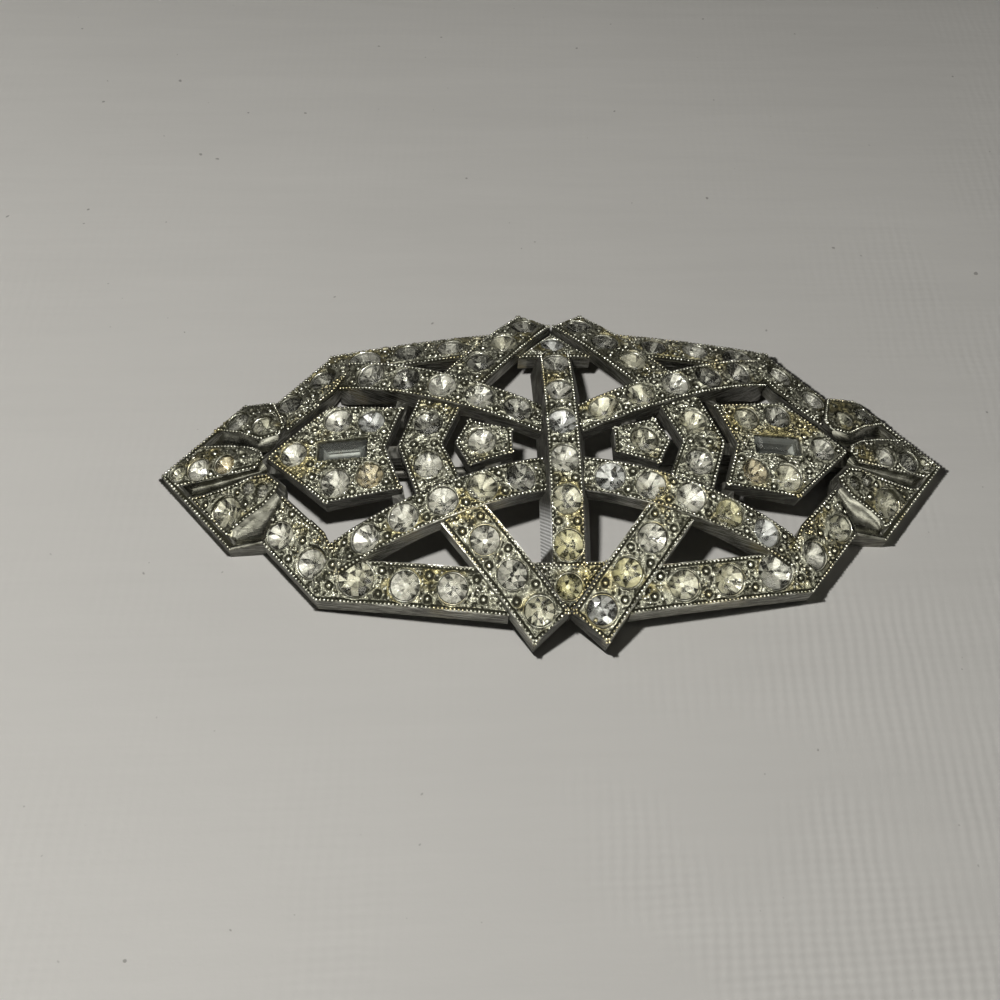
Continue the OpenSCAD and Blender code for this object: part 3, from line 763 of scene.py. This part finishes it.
# The end block's raised leaves, seen from above at the right: the two lines beside each, and its prongs
MIDDLE_LEAF = ([[25.6, 0], [26.3, -0.85], [30, -1.05], [33.4, -1.2], [34.6, 0]],
               [[25.6, 0], [25.9, 0.9], [27.2, 1.75], [29.2, 2.4], [31.7, 2.9], [34.6, 0]],
               [[30.2, 1.5], [32.2, 1.5], [30.3, -0.6], [27.4, 0.5], [28.1, 1.4]])
RIBBON = ([[24.5, 2.5], [26.3, 2.3], [28.4, 3.7], [30.8, 4.65]],
          [[24.1, 3.5], [24.6, 4.9], [25.5, 6.95], [28.4, 7.3], [30.8, 4.65]],
          [[27.4, 3.55], [27.3, 5.9], [25.7, 5.8]])
BROAD_LEAF = ([[24.2, -2.4], [25.2, -1.4], [26.4, -1.35], [28.3, -1.8], [30.8, -2.2], [32.2, -2.3]],
              [[24.2, -2.4], [24.4, -3.1], [25.4, -4.1], [26.8, -4.8], [28.1, -5.6], [28.5, -6.2],
               [32.2, -2.3]],
              [[27.75, -2.6], [30.6, -3.2], [27, -3.7]])

# Its smooth hollows, two lines and a depth each: the bright lip of the fold at the front corner, which
# rises, then the fold, the channel in front of the middle leaf and the groove behind it
HOLLOWS = (([[25.3, -6.8], [28.3, -6.9]], [[25.42, -7.17], [28.42, -7.32]], -0.12),
           ([[24.4, -3.1], [25.4, -4.1], [26.8, -4.8], [28.1, -5.6], [28.5, -6.2]],
            [[24.0, -4.1], [24.5, -5.1], [25.3, -6.8], [28.3, -6.9]], 0.42),
           ([[25.7, -0.3], [26.3, -0.85], [30, -1.05], [33.4, -1.2]],
            [[25.2, -1.4], [26.4, -1.35], [28.3, -1.8], [32.2, -2.3]], 0.46),
           ([[25.6, 0.6], [27.2, 1.75], [29.2, 2.4], [31.7, 2.9]],
            [[24.5, 2.5], [26.3, 2.3], [28.4, 3.7], [30.8, 4.65]], 0.5))

for sx in (-1, 1):
    flip = np.array([sx, 1])
    # petal, chevron and arrow panel
    strip("side_faces", face_top, np.array([[4.3, -1.15], [4.3, 1.15]]) * flip,
          np.array([[8, -2.25], [9.2, 0], [8, 2.25]]) * flip, mirrored(SIDE_CENTRE[:1], sx, 1))
    chevron = np.vstack([mirrored(SIDE[:1], sx, 1), mirrored(SIDE[:1], sx, -1)])
    strip("side_faces", face_top, both_sides([[10.2, 0], [9, 2.7], [8.5, 4.1]]) * flip,
          both_sides([[14, 0], [12.7, 3.7], [12.1, 5.6]]) * flip, chevron, chevron_marks * flip)
    panel = np.vstack([mirrored(SIDE[1:], sx, 1), mirrored(SIDE[1:], sx, -1),
                       mirrored(SIDE_CENTRE[1:], sx, 1)])
    strip("side_faces", face_top, both_sides([[15, 0], [13.6, 3.95]]) * flip,
          both_sides([[25.3, 0], [20, 4.75]]) * flip, panel, panel_marks * flip,
          oblong=(BAGUETTE_X, BAGUETTE_L / 2, BAGUETTE_W / 2))
    # end block: its band behind and in front, then the leaves and hollows
    for sy in (-1, 1):
        strip("leaves", block_top, np.array([[34.3, 0.1], [27.9, 6.8]]) * [sx, sy],
              np.array([[35, 0], [28.4, 7.3]]) * [sx, sy], np.zeros((0, 3)), ends=(False, False),
              rows_on=(False, True), grain=0)
    for (left, right, marks), stones, beaded, crown in (
            (MIDDLE_LEAF, mirrored(RIDGE, sx, 1), False, 0.1),
            (RIBBON, mirrored(BACK_LEAF, sx, 1), True, 0.12),
            (BROAD_LEAF, mirrored(FRONT_LEAF, sx, -1), True, 0.14)):
        strip("leaves", block_top, np.array(left) * flip, np.array(right) * flip, stones,
              np.array(marks) * flip, ends=(beaded, beaded), crown=crown)
    for left, right, depth in HOLLOWS:
        hollow(left, right, depth, flip)

face_metal = worked_metal()
bead_finish = bead_metal()
for group, (verts, quads, soil, _) in faces_made.items():
    piece(f"{group}_worked", np.vstack(verts), np.vstack(quads), [face_metal],
          data={"soil": np.concatenate(soil)})
piece("leaf_hollows", np.vstack(hollows[0]), np.vstack(hollows[1]), [fold_metal()])


def scattered(name, groups, radius, around, rings, squash, spread):
    """One mesh of small balls, squashed along the normal, whose sizes and turns are drawn for each."""
    points = np.vstack([g[0] for g in groups])
    normals = np.vstack([g[1] for g in groups])
    size = radius * rng.uniform(1 - spread, 1 + spread, len(points))
    shape, tris = ball(around, rings)
    sizes = np.stack([size, size * rng.uniform(1 - spread, 1 + spread, len(points)), size * squash], -1)
    verts, faces = scatter(shape, tris, points, normals, sizes, rng.uniform(0, 6.28, len(points)))
    soil = np.clip(0.35 - np.tile(shape[:, 2], len(points)) * 1.2, 0, 1)
    return piece(name, verts, faces, [bead_finish], data={"soil": soil})


scattered("beaded_edges", beads, BEAD_R, 8, 4, 0.9, 0.12)
scattered("prong_balls", prongs, PRONG_R, 12, 6, 0.95, 0.1)
scattered("grains", grains, GRAIN_R, 6, 3, 0.9, 0.35)


def cup_rims():
    """A thin cut rim round each stone: an arch in section, whose height follows a seeded wave round it."""
    around, across, knots = 40, 5, 15
    a = np.arange(around) * 2 * math.pi / around
    u = np.linspace(0, 1, across)
    verts, faces, soil, count = [], [], [], 0
    for points, normals, radii in rims:
        for point, normal, r in zip(points, normals, radii):
            wave = np.interp(a, np.linspace(0, 2 * math.pi, knots), rng.uniform(0.25, 1.3, knots),
                             period=2 * math.pi)
            reach = r + RIM_GAP + RIM_WIDTH * u[:, None] + 0 * a
            high = RIM_HEIGHT * np.sin(u * math.pi)[:, None] * wave - RIM_SINK
            ring = np.stack([reach * np.cos(a), reach * np.sin(a), high], -1).reshape(-1, 3)
            axes = frames(normal[None], np.zeros(1))[0]
            verts.append(ring @ axes + point)
            faces.append(grid_faces(across, around, True) + count)
            soil.append(np.clip(0.8 - high.ravel() * 9, 0, 1))
            count += around * across
    return piece("cup_rims", np.vstack(verts), np.vstack(faces), [bead_finish],
                 data={"soil": np.concatenate(soil)})


cup_rims()


def brilliant(r):
    """A round brilliant: table, star, kite and girdle facets above, two tiers below, and a flat base."""
    eighth = np.arange(8) * math.pi / 4
    half = eighth + math.pi / 8
    sixteenth = np.arange(16) * math.pi / 8

    def ring(angle, radius, z):
        return np.stack([radius * np.cos(angle), radius * np.sin(angle), 0 * angle + z], -1)

    verts = np.vstack([ring(eighth, 0.58 * r, 0.4), ring(half, 0.81 * r, 0.255), ring(sixteenth, r, 0.05),
                       ring(sixteenth, r, -0.12), ring(half, 0.56 * r, -0.46), ring(eighth, 0.2, -0.76)])
    table, mid, high, low, waist, base = 0, 8, 16, 32, 48, 56
    faces = [list(range(8))]
    for k in range(8):
        n = (k + 1) % 8
        g = [high + (2 * k + i) % 16 for i in range(3)]
        d = [low + (2 * k + i) % 16 for i in range(3)]
        faces += [[table + k, mid + k, table + n], [table + k, mid + (k - 1) % 8, g[0], mid + k],
                  [mid + k, g[0], g[1]], [mid + k, g[1], g[2]]]
        faces += [[d[0], waist + k, d[1]], [d[1], waist + k, d[2]], [d[2], waist + k, waist + n],
                  [waist + k, base + n, waist + n], [waist + k, base + k, base + n]]
    for k in range(16):
        n = (k + 1) % 16
        faces.append([low + k, low + n, high + n, high + k])
    faces.append([base + k for k in range(7, -1, -1)])
    under = [any(v >= waist for v in f) for f in faces]
    return verts, faces, np.array(under)


def step_cut(length, width):
    """A baguette: rectangles one above the other, joined by flat steps, with a table and a narrow base."""
    half_l, half_w = length / 2, width / 2
    levels = [(half_l - 0.7, 0.12, -0.76), (half_l - 0.3, half_w - 0.36, -0.5), (half_l, half_w, -0.12),
              (half_l, half_w, 0.05), (half_l - 0.24, half_w - 0.2, 0.27), (half_l - 0.5, half_w - 0.42, 0.4)]
    corners = ((-1, -1), (1, -1), (1, 1), (-1, 1))
    verts = np.array([[sx * l, sy * w, z] for l, w, z in levels for sx, sy in corners])
    faces = [list(q) for q in grid_faces(len(levels), 4, True)]
    faces += [[3, 2, 1, 0], [20, 21, 22, 23]]
    under = [max(v // 4 for v in f) <= 2 for f in faces]
    return verts, faces, np.array(under)


def stone_piece(name, nodes, rows, materials):
    """One mesh of cut stones: the glass is the crown and girdle, and the foil is on every facet below."""
    verts, faces, index, tone, tint, count = [], [], [], [], [], 0
    for top, stones, letters in rows:
        points, normals = lift(top, stones[:, :2])
        for point, normal, r, letter in zip(points, normals, stones[:, 2], letters):
            shape, cut, under = brilliant(r)
            # stones sit a little unevenly in their cups
            lean = normal + rng.normal(0, 0.045, 3)
            axes = frames((lean / np.linalg.norm(lean))[None], rng.uniform(0, 0.8, 1))[0]
            verts.append(shape @ axes + point)
            faces += [[v + count for v in f] for f in cut]
            index += list(under.astype(int))
            # painted reflection: some facets are painted dark and the rest bright, for the light they reflect
            tone += list(np.where(rng.random(len(cut)) < DARK_SHARE[letter], rng.uniform(0, 0.2, len(cut)),
                                  rng.choice([0.5, 0.8, 1.0], len(cut))))
            tint += [rgb(*GLASS[letter])] * len(cut)
            count += len(shape)
    return piece(name, np.vstack(verts), faces, materials, nodes, smooth=False,
                 data={"tone": tone, "glass": tint}, material_index=index)


round_stone = [crown_glass("cut glass"), foil("foil back", 0.34)]
baguette = [round_stone[0], foil("smooth foil back", 0.06)]
for name, nodes, rows in stone_pieces():
    stone_piece(name, nodes, rows, round_stone)

for side, sx in (("left", -1), ("right", 1)):
    shape, cut, under = step_cut(BAGUETTE_L, BAGUETTE_W)
    points, normals = lift(face_top, np.array([[sx * BAGUETTE_X, 0.0]]))
    axes = frames(normals, np.zeros(1))[0]
    # painted reflection: each facet's tone paints the light it reflects
    tone, tint = rng.choice([0.15, 0.5, 0.9], len(cut)), [rgb(*GREY_GLASS)] * len(cut)
    piece(f"baguette_{side}_cut", shape @ axes + points[0], cut, baguette, [f"baguette_{side}"],
          smooth=False, data={"tone": tone, "glass": tint}, material_index=under.astype(int))

for node, finish in (("setting", cast_metal()), ("pin_back", pin_metal())):
    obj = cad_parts[node]
    if not obj.material_slots:
        obj.data.materials.append(finish)
    for s in obj.material_slots:
        s.material = finish

# Floor, 1.2 m square
FLOOR_HALF = 0.6
floor = bpy.data.objects.new("floor", bpy.data.meshes.new("floor"))
bpy.context.scene.collection.objects.link(floor)
floor_corners = [(u * FLOOR_HALF, v * FLOOR_HALF, 0) for u, v in ((-1, -1), (1, -1), (1, 1), (-1, 1))]
floor.data.from_pydata(floor_corners, [], [(0, 1, 2, 3)])
floor.data.materials.append(canvas())

# A small near lamp, of even strength with distance, gives the thin shadows inside the gaps
lamp_data = bpy.data.lights.new("near lamp", "POINT")
lamp_data.energy = 1.0
lamp_data.color = (1.0, 0.985, 0.95)
lamp_data.shadow_soft_size = 1.6 * MM
lamp_data.use_nodes = True
falloff = lamp_data.node_tree.nodes.new("ShaderNodeLightFalloff")
falloff.inputs["Strength"].default_value = LAMP_STRENGTH
lamp_shader = next(n for n in lamp_data.node_tree.nodes if n.type == "EMISSION")
lamp_data.node_tree.links.new(falloff.outputs["Constant"], lamp_shader.inputs["Strength"])
lamp = bpy.data.objects.new("near lamp", lamp_data)
lamp.location = [v * MM for v in LAMP]
lamp.visible_camera = False
bpy.context.scene.collection.objects.link(lamp)

# The room's light on matt things, and the plain tone that the camera sees beyond the floor
MATT_LIGHT, BACKDROP = 0.02, 0.42


def room():
    """The room: dim on matt things, plain behind them, and in metal and glass bright openings overhead."""
    p = Paint("room", room=True)
    _, y, z = p.xyz()
    cloud = p.node("ShaderNodeTexNoise", None, {"Vector": p.place, "Scale": 2.6, "Detail": 1.5})
    openings = cloud.step(0.52, 0.6)
    ceiling = (0.88 * z - 0.42 * y).step(0.15, 0.9)
    seen = 0.02 + ceiling * (0.16 + 4.2 * openings) + 0.1 * (1 - z.step(-0.6, 0.2))
    matt = p.node("ShaderNodeLightPath", out="Is Diffuse Ray")
    backdrop = p.node("ShaderNodeLightPath", out="Is Camera Ray")
    strength = (seen * (1 - matt) + MATT_LIGHT * matt) * (1 - backdrop) + BACKDROP * backdrop
    backing = p.node("ShaderNodeBackground", None, {"Color": rgb(1.0, 0.99, 0.91), "Strength": strength})
    p.node("ShaderNodeOutputWorld", None, {"Surface": backing})
    return p.material


bpy.context.scene.world = room()

# The photograph's camera: height and heading about the brooch's centre, roll, distance and picture centre
HEIGHT, HEADING, ROLL = (math.radians(v) for v in (62.3, -5.46, 4.12))
DISTANCE, FOCUS, CENTRE_X, CENTRE_Y, PICTURE = 80.1, 950, 563.7, 439.0, 1000
AIM_Z, SENSOR = 6.95, 36
back = np.array([math.sin(HEADING) * math.cos(HEIGHT), -math.cos(HEADING) * math.cos(HEIGHT),
                 math.sin(HEIGHT)])
right = np.array([math.cos(HEADING), math.sin(HEADING), 0])
up = np.cross(back, right)
right, up = right * math.cos(ROLL) + up * math.sin(ROLL), up * math.cos(ROLL) - right * math.sin(ROLL)
shift = right * (CENTRE_X - PICTURE / 2) / FOCUS + up * (PICTURE / 2 - CENTRE_Y) / FOCUS
eye = (back - shift) * DISTANCE + np.array([0, 0, AIM_Z])
camera_data = bpy.data.cameras.new("camera")
camera_data.sensor_fit = "HORIZONTAL"
camera_data.sensor_width = SENSOR
camera_data.lens = SENSOR * FOCUS / PICTURE
camera_data.clip_start = 0.002
camera_data.clip_end = 10
camera = bpy.data.objects.new("camera", camera_data)
axes = Matrix(np.stack([right, up, back], 1).tolist())
camera.matrix_world = Matrix.Translation((eye * MM).tolist()) @ axes.to_4x4()
bpy.context.scene.collection.objects.link(camera)
bpy.context.scene.camera = camera
bpy.context.scene.view_settings.view_transform = "Standard"
